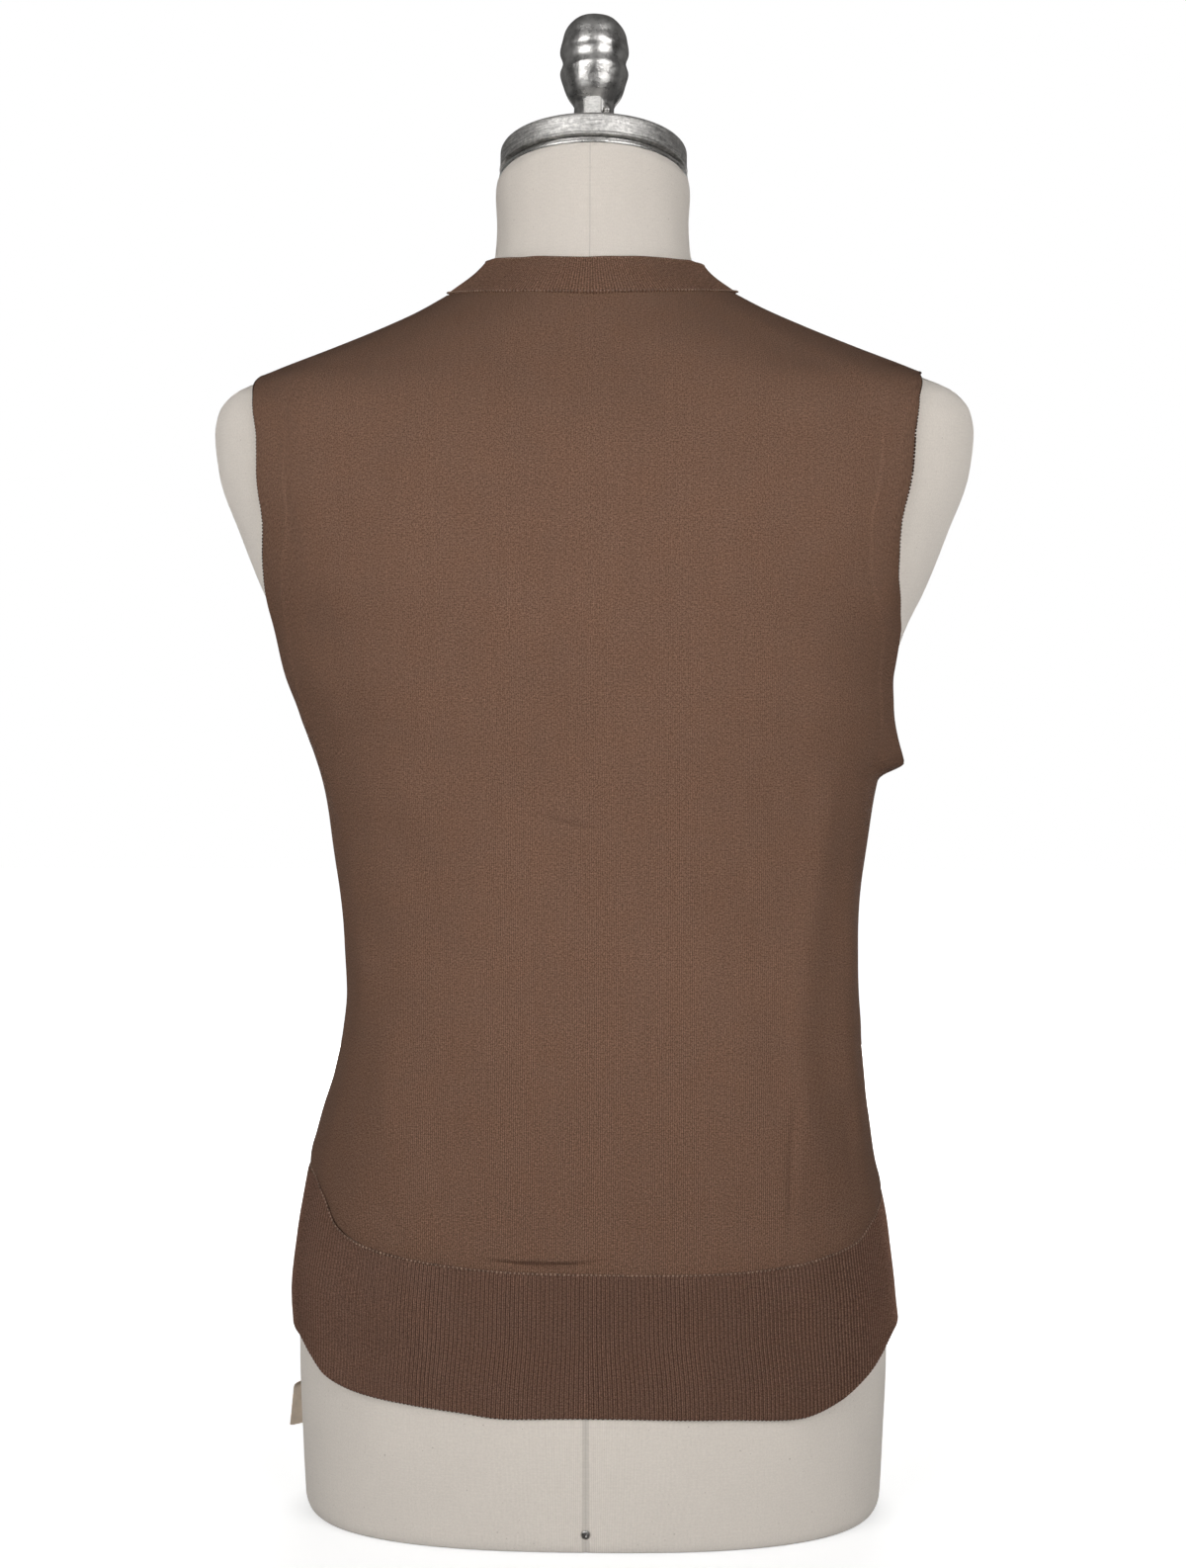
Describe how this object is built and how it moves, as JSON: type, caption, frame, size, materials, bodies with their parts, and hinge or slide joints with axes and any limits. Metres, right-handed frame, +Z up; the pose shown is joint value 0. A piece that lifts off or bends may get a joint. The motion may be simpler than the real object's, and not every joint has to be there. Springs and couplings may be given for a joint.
{
  "type": "sleeveless cardigan on a dress form",
  "caption": "Sleeveless V-neck cardigan in fine brown knit with rib hem and buttoned rib front band, shown on a limbless linen dress form with a metal neck cap and finial.",
  "frame": {"origin": "centre of the dress form's flat base, on the surface that it stands on", "axes": "+Z up, the wearer faces -Y, the wearer's left side is +X"},
  "size_m": [0.4578, 0.2576, 0.9057],
  "materials": {
    "brown_knit": "fine plain knit, matt, warm brown",
    "brown_rib": "fine 1x1 rib, matt, darker brown",
    "horn_button": "dark horn, satin",
    "label_cotton": "woven cotton tape, bare",
    "linen": "tight plain-weave linen, off-white",
    "cast_aluminium": "cast and brushed",
    "polished_metal": "polished, slightly dark"
  },
  "bodies": {
    "root": {"back": "brown_knit", "front_left": "brown_knit", "front_right": "brown_knit", "hem_rib_back": "brown_rib", "hem_rib_left": "brown_rib", "hem_rib_right": "brown_rib", "neckband_back": "brown_rib", "front_band_left": "brown_rib", "front_band_right": "brown_rib", "button_1": "horn_button", "button_2": "horn_button", "button_3": "horn_button", "button_4": "horn_button", "button_5": "horn_button", "label": "label_cotton", "form_torso": "linen", "form_neck_cap": "cast_aluminium", "form_cap_lip": "cast_aluminium", "form_finial": "polished_metal", "form_finial_lug": "polished_metal", "form_clamp_stud": "polished_metal", "form_screw": "polished_metal"}
  },
  "joints": []
}
